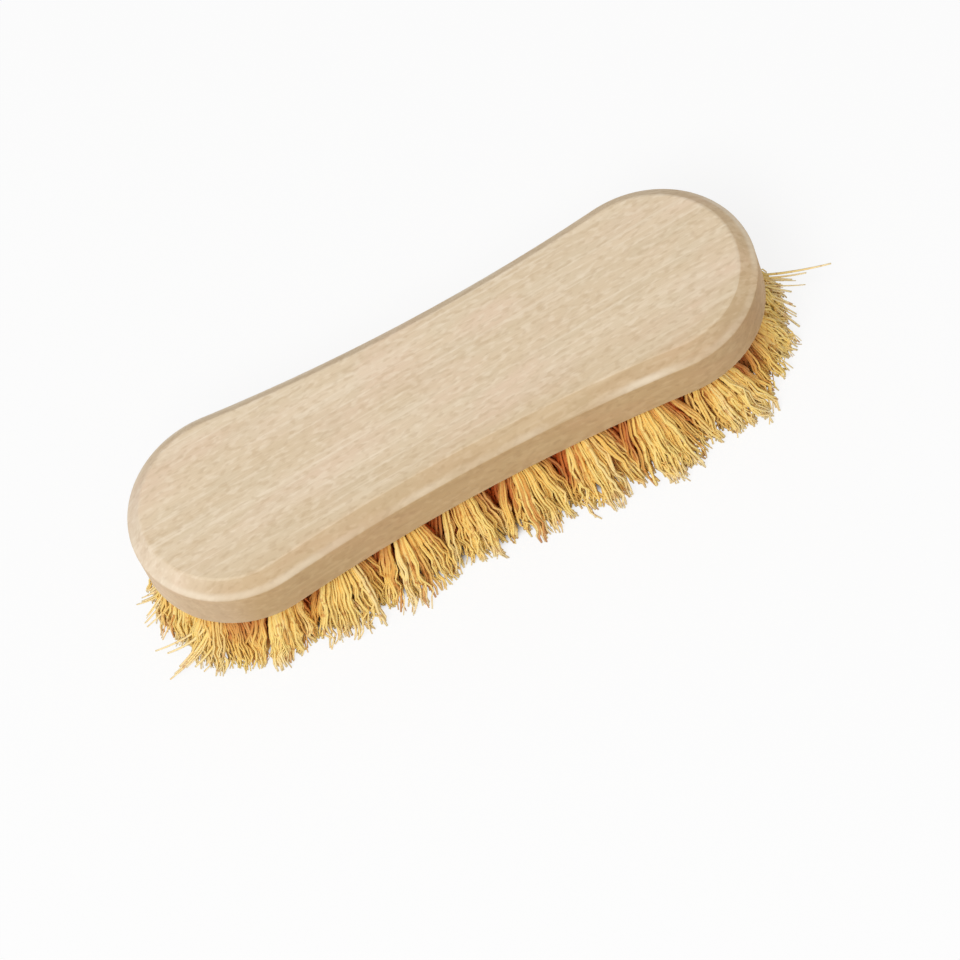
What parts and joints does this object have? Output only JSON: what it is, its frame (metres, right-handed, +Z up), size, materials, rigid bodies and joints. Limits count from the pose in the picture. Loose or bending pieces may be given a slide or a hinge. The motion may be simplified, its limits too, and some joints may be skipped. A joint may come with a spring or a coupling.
{
  "type": "scrub brush",
  "caption": "Hand scrub brush: a waisted beech block with a chamfered top, set underneath with rows of flared plant-fibre tufts held by wire anchors.",
  "frame": {"origin": "on the plane of the trimmed bristle tips, under the middle of the block", "axes": "+X along the block's length, +Y across it, +Z up from the bristle tips to the block's top"},
  "size_m": [0.2106, 0.0738, 0.046],
  "materials": {
    "beech": "matte",
    "root_fibre": "matte",
    "anchor_wire": "satin"
  },
  "bodies": {
    "root": {"centre_tuft_01": "root_fibre", "centre_tuft_02": "root_fibre", "centre_tuft_03": "root_fibre", "centre_tuft_04": "root_fibre", "centre_tuft_05": "root_fibre", "centre_tuft_06": "root_fibre", "centre_tuft_07": "root_fibre", "centre_tuft_08": "root_fibre", "edge_tuft_01": "root_fibre", "edge_tuft_02": "root_fibre", "edge_tuft_03": "root_fibre", "edge_tuft_04": "root_fibre", "edge_tuft_05": "root_fibre", "edge_tuft_06": "root_fibre", "edge_tuft_07": "root_fibre", "edge_tuft_08": "root_fibre", "edge_tuft_09": "root_fibre", "edge_tuft_10": "root_fibre", "edge_tuft_11": "root_fibre", "edge_tuft_12": "root_fibre", "edge_tuft_13": "root_fibre", "edge_tuft_14": "root_fibre", "edge_tuft_15": "root_fibre", "edge_tuft_16": "root_fibre", "edge_tuft_17": "root_fibre", "edge_tuft_18": "root_fibre", "edge_tuft_19": "root_fibre", "edge_tuft_20": "root_fibre", "edge_tuft_21": "root_fibre", "edge_tuft_22": "root_fibre", "inner_tuft_01": "root_fibre", "inner_tuft_02": "root_fibre", "inner_tuft_03": "root_fibre", "inner_tuft_04": "root_fibre", "inner_tuft_05": "root_fibre", "inner_tuft_06": "root_fibre", "inner_tuft_07": "root_fibre", "inner_tuft_08": "root_fibre", "inner_tuft_09": "root_fibre", "inner_tuft_10": "root_fibre", "inner_tuft_11": "root_fibre", "inner_tuft_12": "root_fibre", "inner_tuft_13": "root_fibre", "inner_tuft_14": "root_fibre", "tuft_anchors": "anchor_wire", "wood_block": "beech"}
  },
  "joints": []
}
